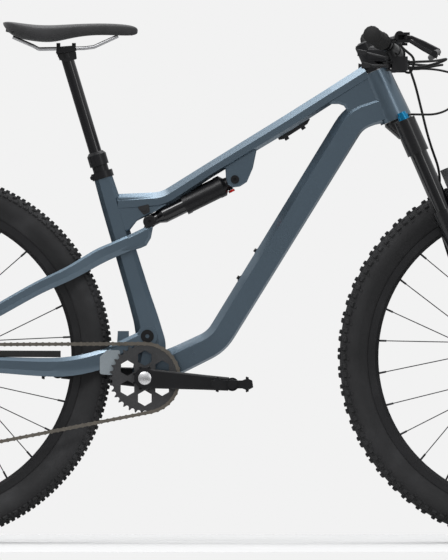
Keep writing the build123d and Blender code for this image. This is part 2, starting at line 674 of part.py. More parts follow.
# ---------------------------------------------------------------- fork lowers and front brake
with BuildPart() as fork_lowers:
    for side in (-1, 1):
        y = side * leg_y
        add(rod(st(300, leg_offset, y), st(334, leg_offset, y), 23.0, 24.5))
        add(rod(st(24, leg_offset, y), st(300, leg_offset, y), 20.0, 23.0))
        add(rod(st(-10, leg_offset, y), st(24, leg_offset, y), 15.0, 20.0))
        add(plate([st(70, 4)[::2], st(70, 22)[::2], st(12, 58)[::2], st(-12, 56)[::2], st(-16, 34)[::2], st(-8, 6)[::2]],
                  min(side * 55, side * 76), max(side * 55, side * 76), 5))
    with BuildSketch(Plane(origin=st(0, 40), x_dir=(0, 1, 0), z_dir=(nx, 0, nz))):
        Polygon((-82, 306), (-82, 352), (-60, 394), (-30, 408), (30, 408), (60, 394), (82, 352), (82, 306),
                (46, 306), (46, 360), (30, 384), (-30, 384), (-46, 360), (-46, 306), align=None)
    extrude(amount=16)
    for side in (-1, 1):
        y = side * leg_y
        add(shell([(st(306, 30, y), (ux, 0, uz), 30, 36, 5), (st(330, 30, y), (ux, 0, uz), 28, 34, 5)]))
        add(rod(st(28, leg_offset, y), st(340, leg_offset, y), stanchion_r + fit), mode=Mode.SUBTRACT)
    add(shell([(st(34, -6, 58), (ux, 0, uz), 16, 26, 4), (st(80, -6, 58), (ux, 0, uz), 16, 26, 4)]))
    add(rod(st(28, leg_offset, leg_y), st(340, leg_offset, leg_y), stanchion_r + fit), mode=Mode.SUBTRACT)
    add(disc(front_axle_x, axle_z, 7.5, -90, 90), mode=Mode.SUBTRACT)
save(fork_lowers, "fork_lowers")

with BuildPart() as front_axle:
    add(disc(front_axle_x, axle_z, 7.5, -80, 80))
    add(disc(front_axle_x, axle_z, 10.0, 76, 82))
    add(disc(front_axle_x, axle_z, 3.0, 74, 83), mode=Mode.SUBTRACT)
save(front_axle, "front_axle")

with BuildPart() as front_caliper:
    add(shell([(st(32, -22, 41), (ux, 0, uz), 32, 28, 6), (st(80, -22, 41), (ux, 0, uz), 32, 28, 6)]))
    add(disc(front_axle_x, axle_z, 93.0, 36.8, 41.0), mode=Mode.SUBTRACT)
    add(fork_lowers.part, mode=Mode.SUBTRACT)
save(front_caliper, "front_caliper")

with BuildPart() as front_brake_hose:
    lead = st(78, -22, 50)
    add(hose([(q[0] + 28, 150, q[2] + 6.5), (q[0] + 40, 116, q[2] - 16), (q[0] + 62, 84, q[2] - 70), st(470, 44, 78), st(400, 40, 91),
              st(330, -2, 92), st(220, -14, 88), st(130, -16, 70), lead], 2.5))
    add(fork_lowers.part, mode=Mode.SUBTRACT)
    add(front_caliper.part, mode=Mode.SUBTRACT)
    add(brake_masters.part, mode=Mode.SUBTRACT)
save(front_brake_hose, "front_brake_hose")

# ---------------------------------------------------------------- wheels
half_tyre = [(14.5, 303.2), (14.5, 311.2), (22, 316), (28.5, 329), (tyre_half_width, 344), (25, 360), (13, 369.5)]
half_inner = [(9, 363.5), (21, 356.5), (25.8, 344), (24.5, 331), (17, 320), (11.5, 314), (11, 303.2)]


def mirrored(points):
    return points + [(-y, r) for y, r in reversed(points)]


def tyre(x):
    profile = half_tyre + [(0, tyre_r)] + [(-y, r) for y, r in reversed(half_tyre)]
    inner = [(-y, r) for y, r in reversed(half_inner)] + [(0, 365)] + half_inner
    return lathe(x, axle_z, profile + inner)


def rim(x):
    edge = [(rim_half_width, 311), (rim_half_width, 297), (11, rim_inner_r)]
    well = [(10, 300.5), (14.5, 303), (14.5, 311)]
    return lathe(x, axle_z, edge + [(-y, r) for y, r in reversed(edge)] + [(-y, r) for y, r in reversed(well)] + well)


def spoke_ends(x, facing, start, k, flange):
    """Hub hole, elbow and nipple points of spoke k; flanges are (left, right) inner faces."""
    a = radians(start + k * 360.0 / spoke_count)
    lean = 1 if k % 4 in (1, 2) else -1
    side = 1 if k % 2 else -1
    face = flange[1 if side > 0 else 0]
    tilt = a + lean * asin(27.0 / 284.0)
    reach = 284.0 * cos(asin(27.0 / 284.0)) - 10.6
    hub = (x + facing * (284.0 * cos(a) - reach * cos(tilt)), axle_z + 284.0 * sin(a) - reach * sin(tilt))
    inner = face - side * (1.1 if lean > 0 else 7.4)
    tip = (x + facing * 292.0 * cos(a), side * 3.0, axle_z + 292.0 * sin(a))
    return hub, face, inner, tip, side


def spoke_set(x, facing, start, flange):
    made = []
    for k in range(spoke_count):
        hub, face, inner, tip, side = spoke_ends(x, facing, start, k, flange)
        root = (hub[0], inner, hub[1])
        run = Vector(*tip) - Vector(*root)
        neck = Vector(*tip) - run.normalized() * 16
        with BuildPart(mode=Mode.PRIVATE) as b:
            add(rod(root, tip, spoke_r))
            add(rod(tuple(neck), tip, 2.0))
            add(rod((hub[0], inner - side * 0.8, hub[1]), (hub[0], face + side * 3.0, hub[1]), 1.3))
            add(rod((hub[0], face + side * 3.0, hub[1]), (hub[0], face + side * 4.0, hub[1]), 2.2))
        made.append(b.part.solids()[0])
    return made


def rotor(x, y0, r):
    """Brake disc with a swept carrier, drilled along the track."""
    with BuildPart(mode=Mode.PRIVATE) as b:
        with BuildSketch(Plane.XZ.offset(-(y0 + 1.8))):
            with Locations((x, axle_z)):
                Circle(r)
                Circle(r - 15, mode=Mode.SUBTRACT)
                Circle(26)
                with PolarLocations(0, 6):
                    with Locations(Location((r / 2 + 6, 6), 14)):
                        Rectangle(r - 22, 6)
                Circle(17, mode=Mode.SUBTRACT)
                with PolarLocations(r - 8, 24):
                    Circle(2.6, mode=Mode.SUBTRACT)
        extrude(amount=1.8)
    return b.part


wheels_made = (("front", front_axle_x, -1, 6.43, (-31.0, 27.0), 38.0, 90.0), ("rear", rear_axle_x, 1, 7.9, (-15.0, 33.0), 58.0, 80.0))
for name, x, facing, start, flange, rotor_y, rotor_r in wheels_made:
    spokes = spoke_set(x, facing, start, flange)
    save_group(spokes, f"{name}_spokes")
    with BuildPart() as wheel_tyre:
        add(tyre(x))
    save(wheel_tyre, f"{name}_tyre")
    with BuildPart() as wheel_rim:
        add(rim(x))
        add(spokes, mode=Mode.SUBTRACT)
    save(wheel_rim, f"{name}_rim")
    left_face, right_face = flange
    bore = 7.5 if name == "front" else 6.0
    near = -54.7 if name == "front" else -19.4
    far = 54.7 if name == "front" else 73.7
    with BuildPart() as wheel_hub:
        add(disc(x, axle_z, 32.0, left_face - 3, left_face))
        add(disc(x, axle_z, 32.0, right_face, right_face + 3))
        add(disc(x, axle_z, 15.0, left_face - 3, right_face + 3))
        add(disc(x, axle_z, 10.5, near, far))
        add(disc(x, axle_z, 16.9, right_face + 3, rotor_y + 1.8))
        add(disc(x, axle_z, 20.0, rotor_y + 1.8, rotor_y + 4.5))
        add(disc(x, axle_z, bore + fit, -80, 80), mode=Mode.SUBTRACT)
        add(spokes, mode=Mode.SUBTRACT)
    save(wheel_hub, f"{name}_hub")
    with BuildPart() as wheel_rotor:
        add(rotor(x, rotor_y, rotor_r))
        add(wheel_hub.part, mode=Mode.SUBTRACT)
    save(wheel_rotor, f"{name}_rotor")

# ---------------------------------------------------------------- rear triangle
stay_top = [((-150, 640), 26.5, 12, 28), ((-200, 612), 27, 12, 36), ((-254, 572), 32, 13, 31), ((-310, 540), 41, 13, 28),
            ((-374, 510), 47.5, 14, 26), ((-446, 470), 57, 14, 25), ((-575, 396), 79, 10, 24)]
stay_low = [((-160, 411), 33, 20, 30), ((-205, 388), 37, 18, 34), ((-245, 368), 41, 11, 38), ((-326, 352), 45.5, 14, 38),
            ((-446, 356), 60, 15, 32), ((-565, 366), 79, 10, 28)]
with BuildPart() as rear_triangle:
    for side in (-1, 1):
        add(limb([((p[0], side * y, p[1]), (-0.85, -0.52), w, h, 4) for p, y, w, h in stay_top]))
        ways = [(-0.87, -0.5), (-0.87, -0.5), (-0.93, -0.37), (-1, 0), (-1, 0.05), (-1, 0.08)]
        add(limb([((p[0], side * y, p[1]), d, w, h, 4) for (p, y, w, h), d in zip(stay_low, ways)]))
        lo, hi = min(side * 20.5, side * 32.5), max(side * 20.5, side * 32.5)
        add(disc(shock_rear[0], shock_rear[1], 14.0, lo, hi))
        lo, hi = min(side * 22, side * 43), max(side * 22, side * 43)
        add(disc(pivot_x, pivot_z, 17.0, lo, hi))
        lo, hi = min(side * 74, side * 84), max(side * 74, side * 84)
        add(plate([(-545, 352), (-548, 384), (-566, 410), (-598, 394), (-620, 380), (-618, 356), (-592, 346)], lo, hi, 5))
    add(plate([(-216, 392), (-214, 424), (-192, 424), (-192, 396), (-202, 384)], -36, 36, 3))
    add(plate([(-604, 358), (-580, 356), (-588, 322), (-606, 322)], -84, -77))
    add(disc(pivot_x, pivot_z, 7.5 + fit, -60, 60), mode=Mode.SUBTRACT)
    for side in (-1, 1):
        add(disc(pivot_x, pivot_z, 13.8, side * 43.05, side * 55), mode=Mode.SUBTRACT)
    add(disc(shock_rear[0], shock_rear[1], 6.4, -40, 40), mode=Mode.SUBTRACT)
    add(disc(rear_axle_x, axle_z, 6.0, -100, 100), mode=Mode.SUBTRACT)
save(rear_triangle, "rear_triangle")

with BuildPart() as shock_rear_bolt:
    add(disc(shock_rear[0], shock_rear[1], 6.4, -33, 33))
    for side in (-1, 1):
        add(disc(shock_rear[0], shock_rear[1], 9.0, side * 14.6, side * 20.5))
        add(disc(shock_rear[0], shock_rear[1], 10.5, side * 32.5, side * 35))
    add(disc(shock_rear[0], shock_rear[1], 3.0, -36, -32), mode=Mode.SUBTRACT)
    add(rear_triangle.part, mode=Mode.SUBTRACT)


with BuildPart() as chainstay_guard:
    add(plate([(-250, 338), (-250, 372), (-236, 386), (-210, 386), (-207, 352), (-225, 336)], -47.9, -46.5, 4))
    add(disc(-243, 362, 3.0, -47.9, -44))
    add(rear_triangle.part, mode=Mode.SUBTRACT)
save(chainstay_guard, "chainstay_guard")

with BuildPart() as chainstay_protector:
    add(limb([((-328, -45.8, 378.2), (-1, 0), 12, 13, 3), ((-446, -60, 378.8), (-1, 0), 12, 13, 3),
              ((-500, -68, 382), (-1, 0), 11, 11, 3)]))
save(chainstay_protector, "chainstay_protector")

with BuildPart() as rear_axle:
    add(disc(rear_axle_x, axle_z, 6.0, -86, 84))
    add(disc(rear_axle_x, axle_z, 9.5, 84, 88))
    add(disc(rear_axle_x, axle_z, 3.0, 80, 90), mode=Mode.SUBTRACT)
save_group(rear_axle.part.solids() + shock_rear_bolt.part.solids(), "rear_axle")

with BuildPart() as rear_caliper:
    add(plate([(-556, 384), (-560, 416), (-512, 412), (-510, 380)], 48, 76, 4))
    add(disc(rear_axle_x, axle_z, 82.5, 56.4, 61.4), mode=Mode.SUBTRACT)
    add(rear_triangle.part, mode=Mode.SUBTRACT)
save(rear_caliper, "rear_caliper")

# ---------------------------------------------------------------- drivetrain
cog_set = (10, 12, 14, 16, 18, 21, 24, 28, 33, 39, 45, 51)
with BuildPart() as cassette:
    add(disc(rear_axle_x, axle_z, 16.8, -66.5, -20.0))
    add(disc(rear_axle_x, axle_z, 11.0, -73.7, -66.5))
    for k, teeth in enumerate(cog_set):
        y = cog_y + 3.65 * (k - 1)
        angle = phase(rear_axle_x, axle_z) if teeth == cog_teeth else 90.0
        add(sprocket(rear_axle_x, axle_z, teeth, y - 0.8, y + 0.8, angle, 16.0))
        if teeth > 30:
            with BuildSketch(Plane.XZ.offset(-(y + 1.5))):
                with Locations((rear_axle_x, axle_z)):
                    with PolarLocations(teeth * 1.27 + 4, 9):
                        Circle(teeth * 0.3)
            extrude(amount=3, mode=Mode.SUBTRACT)
    with BuildSketch(Plane.XZ.offset(24.7)):
        with Locations((rear_axle_x, axle_z)):
            with PolarLocations(0, 6):
                with Locations((48, 0)):
                    Rectangle(74, 7)
    extrude(amount=11.8)
    add(disc(rear_axle_x, axle_z, 6.0 + fit, -80, 0), mode=Mode.SUBTRACT)
save(cassette, "cassette")

arm_way = (cos(radians(-4.0)), sin(radians(-4.0)))


def arm_at(d, y):
    return (bb_x + arm_way[0] * d, y, bb_z + arm_way[1] * d)


def crank_arm(side):
    """Arm on its own side; the far arm points backward."""
    with BuildPart(mode=Mode.PRIVATE) as b:
        f = -side
        add(disc(bb_x, bb_z, 21.0, min(side * 58, side * 74), max(side * 58, side * 74)))
        run = [(4, 66, 16, 40), (60, 68, 15, 35), (120, 71, 14, 30), (168, 74, 13.5, 27)]
        add(limb([(arm_at(f * d, side * y), arm_way, w, h, 4.5) for d, y, w, h in run]))
        end = arm_at(f * crank_length, 0)
        add(disc(end[0], end[2], 13.5, min(side * 67, side * 81), max(side * 67, side * 81)))
    return b.part


with BuildPart() as crank_drive_arm:
    add(crank_arm(-1))
    add(disc(bb_x, bb_z, 14.5, -74, 60))
    add(disc(bb_x, bb_z, 9.0, -80, 70), mode=Mode.SUBTRACT)
    add(disc(bb_x, bb_z, 20.0, -58, -52.9))
    add(disc(bb_x, bb_z, 9.0, -80, 70), mode=Mode.SUBTRACT)
    pin = arm_at(crank_length, 0)
    add(disc(pin[0], pin[2], 6.0, -90, -60), mode=Mode.SUBTRACT)
save(crank_drive_arm, "crank_drive_arm")

with BuildPart() as crank_left_arm:
    add(crank_arm(1))
    add(disc(bb_x, bb_z, 14.5, 50, 60), mode=Mode.SUBTRACT)
    add(disc(bb_x, bb_z, 9.0, 50, 80), mode=Mode.SUBTRACT)
    pin = arm_at(-crank_length, 0)
    add(disc(pin[0], pin[2], 6.0, 60, 90), mode=Mode.SUBTRACT)
save(crank_left_arm, "crank_left_arm")

with BuildPart() as chainring:
    add(sprocket(bb_x, bb_z, ring_teeth, ring_y - 0.9, ring_y + 0.9, phase(bb_x, bb_z), 56.0))
    with BuildSketch(Plane.XZ.offset(-(ring_y + 0.9))):
        with Locations((bb_x, bb_z)):
            Circle(58)
            with PolarLocations(40, 6, 30):
                RegularPolygon(15.5, 6, mode=Mode.SUBTRACT)
            Circle(14.5, mode=Mode.SUBTRACT)
    extrude(amount=1.8)
save(chainring, "chainring")

with BuildPart() as pedal_spindles:
    for side in (-1, 1):
        end = arm_at(-side * crank_length, 0)
        add(rod((end[0], side * 67, end[2]), (end[0], side * 81, end[2]), 6.0))
        add(rod((end[0], side * 81, end[2]), (end[0], side * 86, end[2]), 8.0))
        add(rod((end[0], side * 86, end[2]), (end[0], side * 136, end[2]), 4.5))
save(pedal_spindles, "pedal_spindles")

for name, side in (("pedal_right", -1), ("pedal_left", 1)):
    end = arm_at(-side * crank_length, 0)
    x, z = end[0], end[2]
    with BuildPart() as pedal:
        add(rod((x, side * 86.4, z), (x, side * 139, z), 9.5))
        lo, hi = min(side * 94, side * 132), max(side * 94, side * 132)
        add(plate([(x - 40, z - 4), (x - 42, z + 6), (x - 30, z + 12), (x - 20, z + 8), (x + 20, z + 8), (x + 30, z + 12),
                   (x + 40, z + 8), (x + 42, z - 6), (x + 30, z - 12), (x + 20, z - 8), (x - 20, z - 8), (x - 30, z - 12)], lo, hi, 2))
        for way in (-1, 1):
            add(plate([(x + way * 27, z - 16), (x + way * 27, z + 16), (x + way * 33, z + 14), (x + way * 33, z - 14)],
                      side * 113 - 11, side * 113 + 11, 1))
            add(block(x + way * 22, side * 113, z, 9, 22, 40), mode=Mode.SUBTRACT)
        add(rod((x, side * 80, z), (x, side * 136.5, z), 4.5 + fit), mode=Mode.SUBTRACT)
    save(pedal, name)

with BuildPart() as derailleur_body:
    add(disc(-599, 330, 9.0, -92, -84))
    add(plate([(-614, 338), (-590, 338), (-572, 268), (-592, 254), (-606, 262)], -96, -86, 6))
    add(disc(guide[0], guide[1], 14.0, -94, -72))
save(derailleur_body, "derailleur_body")

with BuildPart() as derailleur_cage:
    for lo, hi in ((-69.0, -67.2), (-56.8, -55.0)):
        for wx, wz, r in ((*guide, 15.0), (*tension, 13.0)):
            add(disc(wx, wz, r, lo, hi))
        run = Vector(tension[0] - guide[0], 0, tension[1] - guide[1])
        add(shell([((guide[0], (lo + hi) / 2, guide[1]), run, hi - lo, 17, 0.5),
                   ((tension[0], (lo + hi) / 2, tension[1]), run, hi - lo, 14, 0.5)]))
    add(disc(guide[0], guide[1], 3.0, -71.6, -55))
    add(disc(tension[0], tension[1], 3.0, -69, -55))
    add(disc(guide[0], guide[1], 12.0, -71.6, -69))
save(derailleur_cage, "derailleur_cage")

for name, centre in (("guide_pulley", guide), ("tension_pulley", tension)):
    with BuildPart() as pulley:
        add(sprocket(centre[0], centre[1], pulley_teeth, cog_y - 0.9, cog_y + 0.9, phase(*centre), 3.0 + fit, 2.2))
        add(disc(centre[0], centre[1], 7.0, cog_y - 3.5, cog_y + 3.5, 3.0 + fit))
    save(pulley, name)


def link_block(outer):
    """One link along +X from a roller centre: two plates with bushes or pins."""
    lo, hi = (1.9, 2.6) if outer else (1.1, 1.85)
    with BuildPart(mode=Mode.PRIVATE) as b:
        for side in (-1, 1):
            with BuildSketch(Plane.XZ.offset(-max(side * lo, side * hi))):
                for x in (0.0, pitch):
                    with Locations((x, 0)):
                        Circle(4.2)
                with Locations((pitch / 2, 0)):
                    Rectangle(pitch, 6.4)
                if not outer:
                    for x in (0.0, pitch):
                        with Locations((x, 0)):
                            Circle(1.85, mode=Mode.SUBTRACT)
            extrude(amount=hi - lo)
        for x in (0.0, pitch):
            if outer:
                add(rod((x, -2.65, 0), (x, 2.65, 0), 1.8))
            else:
                add(ring((x, -1.1, 0), (x, 1.1, 0), roller_r, 1.85))
    return b.part


blocks = (link_block(False), link_block(True))
placed = []
for i in range(links):
    (x1, z1, w1), (x2, z2, w2) = joints_at[i], joints_at[(i + 1) % links]
    y1, y2 = chain_y(x1), chain_y(x2)
    lean = -degrees(atan2(z2 - z1, x2 - x1))
    where = Pos(x1, (y1 + y2) / 2, z1) * Rot(0, lean, 0)
    placed.append((where * blocks[i % 2]).solids()[0])
save_group(placed, "chain")
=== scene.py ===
import json
import math
import bmesh
import bpy
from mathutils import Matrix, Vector


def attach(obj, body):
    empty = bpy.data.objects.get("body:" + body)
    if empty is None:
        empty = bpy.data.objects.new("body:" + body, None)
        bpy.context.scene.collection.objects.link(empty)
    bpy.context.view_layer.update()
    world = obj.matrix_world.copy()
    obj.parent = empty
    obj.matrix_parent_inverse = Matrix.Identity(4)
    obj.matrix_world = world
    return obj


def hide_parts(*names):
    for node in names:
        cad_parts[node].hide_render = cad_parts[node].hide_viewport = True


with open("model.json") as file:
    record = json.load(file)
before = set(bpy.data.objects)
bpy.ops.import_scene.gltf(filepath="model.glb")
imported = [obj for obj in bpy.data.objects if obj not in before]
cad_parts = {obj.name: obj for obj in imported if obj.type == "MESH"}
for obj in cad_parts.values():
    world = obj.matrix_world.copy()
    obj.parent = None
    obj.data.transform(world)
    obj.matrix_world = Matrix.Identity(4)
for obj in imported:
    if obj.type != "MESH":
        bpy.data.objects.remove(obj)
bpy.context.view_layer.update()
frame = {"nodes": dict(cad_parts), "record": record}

# The pieces made here replace the ones that need softer or faceted shapes, and every node gets a
# procedural material. Places are in mm, in the part's own axes: X forward, Y to the left, Z up
# from the floor. MM turns them into metres.

MM = 0.001
UX, UZ = -math.cos(math.radians(66.5)), math.sin(math.radians(66.5))
AXLE_FRONT, AXLE_REAR, AXLE_Z = 597.0, -597.0, 372.0
HEAD_X = AXLE_FRONT - 44.0 * UZ
HEAD_Z = AXLE_Z + 44.0 * UX
SEAT = (-258.8, 782.0, -math.cos(math.radians(73.2)), math.sin(math.radians(73.2)))
BB_X, BB_Z = -160.0, 330.0
PIVOT_X, PIVOT_Z = -155.0, 413.8
SHOCK_X, SHOCK_Z = -150.5, 643.0


def on_head(s, off=0.0, y=0.0):
    """Point s mm up the steering axis, off mm ahead of it."""
    return (HEAD_X + s * UX + off * UZ, y, HEAD_Z + s * UZ - off * UX)


def on_seat(s, off=0.0, y=0.0):
    """Point s mm up the seat tube from the post's collar, off mm ahead of it."""
    x, z, dx, dz = SEAT
    return (x + s * dx + off * dz, y, z + s * dz - off * dx)


# ------------------------------------------------------------------ materials
class Nodes:
    """Short way to build one node material around a Principled shader."""

    def __init__(self, name, color, rough, metal=0.0, **sockets):
        self.mat = bpy.data.materials.new(name)
        self.mat.use_nodes = True
        self.tree = self.mat.node_tree
        self.shader = self.tree.nodes["Principled BSDF"]
        self.shader.inputs["Base Color"].default_value = (*color, 1)
        self.shader.inputs["Roughness"].default_value = rough
        self.shader.inputs["Metallic"].default_value = metal
        for key, value in sockets.items():
            self.shader.inputs[key.replace("_", " ")].default_value = value
        coords = self.tree.nodes.new("ShaderNodeTexCoord")
        self.place = coords.outputs["Object"]
        self.height = None

    def link(self, out, into):
        self.tree.links.new(out, into)

    def stretch(self, scale):
        node = self.tree.nodes.new("ShaderNodeMapping")
        node.inputs["Scale"].default_value = scale
        self.link(self.place, node.inputs["Vector"])
        return node.outputs["Vector"]

    def noise(self, scale, detail=4.0, vector=None):
        node = self.tree.nodes.new("ShaderNodeTexNoise")
        node.inputs["Scale"].default_value = scale
        node.inputs["Detail"].default_value = detail
        self.link(vector or self.place, node.inputs["Vector"])
        return node.outputs["Fac"]

    def cells(self, scale, feature="F1"):
        node = self.tree.nodes.new("ShaderNodeTexVoronoi")
        node.feature = feature
        node.inputs["Scale"].default_value = scale
        self.link(self.place, node.inputs["Vector"])
        return node.outputs["Distance"]

    def ramp(self, fac, stops, socket="Base Color"):
        node = self.tree.nodes.new("ShaderNodeValToRGB")
        ramp = node.color_ramp
        ramp.elements[0].position, ramp.elements[0].color = stops[0][0], (*stops[0][1], 1)
        ramp.elements[1].position, ramp.elements[1].color = stops[-1][0], (*stops[-1][1], 1)
        for place, color in stops[1:-1]:
            ramp.elements.new(place).color = (*color, 1)
        self.link(fac, node.inputs["Fac"])
        self.link(node.outputs["Color"], self.shader.inputs[socket])
        return node.outputs["Color"]

    def span(self, fac, low, high, socket):
        node = self.tree.nodes.new("ShaderNodeMapRange")
        node.inputs["To Min"].default_value = low
        node.inputs["To Max"].default_value = high
        self.link(fac, node.inputs["Value"])
        self.link(node.outputs["Result"], self.shader.inputs[socket])

    def bump(self, fac, strength, distance=0.0005):
        node = self.tree.nodes.new("ShaderNodeBump")
        node.inputs["Strength"].default_value = strength
        node.inputs["Distance"].default_value = distance
        self.link(fac, node.inputs["Height"])
        if self.height:
            self.link(self.height, node.inputs["Normal"])
        self.height = node.outputs["Normal"]
        self.link(self.height, self.shader.inputs["Normal"])


def shade(color, k):
    return tuple(min(1.0, c * k) for c in color)


def paint(name, color, rough=0.32, metal=0.55):
    """Metallic paint: fine flakes under a thin clear coat, with faint dust."""
    m = Nodes(name, color, rough, metal, Coat_Weight=0.35, Coat_Roughness=0.12)
    m.ramp(m.noise(900, 2), [(0.3, shade(color, 0.93)), (0.55, color), (0.75, shade(color, 1.1))])
    m.span(m.noise(7, 5), rough - 0.05, rough + 0.09, "Roughness")
    m.bump(m.noise(60, 2), 0.02, 0.0002)
    return m.mat


def coated(name, color, rough=0.42, metal=0.3, grain=700.0, coat=0.0):
    """Satin or gloss black over metal, with fine grain and handling marks."""
    m = Nodes(name, color, rough, metal, Coat_Weight=coat, Coat_Roughness=0.08, Specular_IOR_Level=0.25)
    m.ramp(m.noise(18, 6), [(0.25, shade(color, 0.75)), (0.6, color), (0.85, shade(color, 1.6))])
    m.span(m.noise(30, 6), rough - 0.08, rough + 0.1, "Roughness")
    m.bump(m.noise(grain, 2), 0.06, 0.0002)
    return m.mat


def moulded(name, color, rough=0.55):
    """Moulded plastic with a spark-eroded texture."""
    m = Nodes(name, color, rough, Specular_IOR_Level=0.3)
    m.ramp(m.noise(40, 5), [(0.3, shade(color, 0.8)), (0.8, shade(color, 1.5))])
    m.span(m.noise(60, 4), rough - 0.08, rough + 0.12, "Roughness")
    m.bump(m.cells(1500), 0.12, 0.0002)
    return m.mat


def rubbery(name, color, rough=0.75, grain=900.0, strength=0.2):
    m = Nodes(name, color, rough, Specular_IOR_Level=0.28)
    m.ramp(m.noise(12, 8), [(0.25, shade(color, 0.7)), (0.55, color), (0.8, shade(color, 1.9))])
    m.span(m.noise(45, 5), rough - 0.1, rough + 0.1, "Roughness")
    m.bump(m.noise(grain, 3), strength, 0.0004)
    m.bump(m.noise(grain / 8, 4), strength * 0.6, 0.0006)
    return m.mat


def leather(name, color):
    """Synthetic leather: pebbled cells with fine creases."""
    m = Nodes(name, color, 0.58, Sheen_Weight=0.12, Specular_IOR_Level=0.4)
    m.ramp(m.noise(25, 6), [(0.3, shade(color, 0.75)), (0.8, shade(color, 1.5))])
    m.span(m.noise(18, 5), 0.5, 0.68, "Roughness")
    m.bump(m.cells(800), 0.35, 0.0003)
    m.bump(m.noise(120, 5), 0.12, 0.0005)
    return m.mat


def brushed(name, color, rough=0.35, metal=1.0, scale=(1, 1, 1)):
    """Bare or dark-plated metal with fine lengthwise marks."""
    m = Nodes(name, color, rough, metal)
    fine = m.noise(600, 4, m.stretch(scale))
    m.ramp(fine, [(0.3, shade(color, 0.7)), (0.7, shade(color, 1.3))])
    m.span(m.noise(50, 6), rough - 0.1, rough + 0.15, "Roughness")
    m.bump(fine, 0.08, 0.0001)
    return m.mat


SLOTS = {
    "frame_paint": paint("frame_paint", (0.088, 0.124, 0.158), 0.27, 0.8),
    "black_metal": coated("black_metal", (0.008, 0.008, 0.009), 0.34, 0.15),
    "gloss_black": coated("gloss_black", (0.004, 0.004, 0.005), 0.14, 0.1, 300, 0.5),
    "black_plastic": moulded("black_plastic", (0.009, 0.009, 0.01)),
    "rubber": rubbery("rubber", (0.010, 0.010, 0.010)),
    "tyre": rubbery("tyre", (0.017, 0.017, 0.018), 0.8, 500.0, 0.3),
    "saddle_skin": leather("saddle_skin", (0.014, 0.014, 0.015)),
    "steel": brushed("steel", (0.42, 0.42, 0.43), 0.28, 1.0, (1, 1, 8)),
    "spoke_black": coated("spoke_black", (0.03, 0.03, 0.032), 0.35, 0.8),
    "chain_metal": brushed("chain_metal", (0.16, 0.145, 0.125), 0.36, 1.0, (6, 1, 1)),
    "grey_plate": brushed("grey_plate", (0.23, 0.26, 0.28), 0.42, 0.6, (1, 1, 6)),
    "blue_anodised": coated("blue_anodised", (0.004, 0.2, 0.4), 0.28, 0.8, 500, 0.3),
    "red_anodised": coated("red_anodised", (0.5, 0.012, 0.01), 0.3, 0.7, 500, 0.3),
}
RIM = coated("rim_black", (0.01, 0.01, 0.011), 0.36, 0.1, 900, 0.15)
FORK = coated("fork_black", (0.007, 0.007, 0.008), 0.28, 0.1, 900, 0.3)
ROTOR = brushed("rotor_steel", (0.5, 0.5, 0.51), 0.3, 1.0, (1, 4, 1))
DARK_COG = brushed("cog_dark", (0.07, 0.07, 0.072), 0.35, 0.9, (4, 1, 1))
ALTERED = {"front_rim": RIM, "rear_rim": RIM, "fork_crown": FORK, "fork_lowers": FORK,
           "front_rotor": ROTOR, "rear_rotor": ROTOR, "chainring": DARK_COG}

slot_of = {s["node"]: s["material_slot"] for s in frame["record"]["subparts"]}
for node, obj in frame["nodes"].items():
    obj.data.materials.clear()
    obj.data.materials.append(ALTERED.get(node) or SLOTS[slot_of[node]])


# ------------------------------------------------------------------ mesh helpers
def keep(name, bm, material):
    """Turn a bmesh into a smooth-shaded object of the scene."""
    mesh = bpy.data.meshes.new(name)
    bmesh.ops.recalc_face_normals(bm, faces=bm.faces)
    bm.to_mesh(mesh)
    bm.free()
    for face in mesh.polygons:
        face.use_smooth = True
    obj = bpy.data.objects.new(name, mesh)
    bpy.context.scene.collection.objects.link(obj)
    mesh.materials.append(material)
    return obj


def settle(obj):
    """Apply every modifier to the object's mesh."""
    bpy.context.view_layer.update()
    mesh = bpy.data.meshes.new_from_object(obj.evaluated_get(bpy.context.evaluated_depsgraph_get()))
    obj.modifiers.clear()
    old, obj.data = obj.data, mesh
    bpy.data.meshes.remove(old)
    for face in mesh.polygons:
        face.use_smooth = True


def rings_to_mesh(bm, rings, closed=False):
    """Skin a row of equal rings; the ends are capped unless the row closes on itself."""
    loops = [[bm.verts.new(p) for p in ring] for ring in rings]
    pairs = list(zip(loops, loops[1:]))
    if closed:
        pairs.append((loops[-1], loops[0]))
    for a, b in pairs:
        for i in range(len(a)):
            j = (i + 1) % len(a)
            bm.faces.new((a[i], a[j], b[j], b[i]))
    if not closed:
        bm.faces.new(loops[0][::-1])
        bm.faces.new(loops[-1])


def between(values, t):
    """Catmull-Rom value along a list of equal-length tuples."""
    last = len(values) - 1
    i = min(int(t), last - 1)
    f = t - i
    p = [values[max(0, min(last, i + k))] for k in (-1, 0, 1, 2)]
    out = []
    for a, b, c, d in zip(*p):
        square, cube = 2 * a - 5 * b + 4 * c - d, 3 * b - a - 3 * c + d
        out.append(0.5 * (2 * b + (c - a) * f + square * f * f + cube * f ** 3))
    return out


def facets(a, b, up, low, top, foot):
    """Eight-sided section: flanks reach shares up and low of the half height b; flats take
    shares top and foot of the half width a."""
    return [(a, up * b), (top * a, b), (-top * a, b), (-a, up * b),
            (-a, -low * b), (-foot * a, -b), (foot * a, -b), (a, -low * b)]


FLANKS = (0.4, 0.75, 0.45, 0.6)


def section(place, way, shares):
    """Faceted ring at place (x, y, z, width, height), square to way in side view."""
    x, y, z, w, h = place
    size = math.hypot(*way)
    ux, uz = -way[1] / size, way[0] / size
    return [(MM * (x + v * ux), MM * (y + u), MM * (z + v * uz)) for u, v in facets(w / 2, h / 2, *shares)]


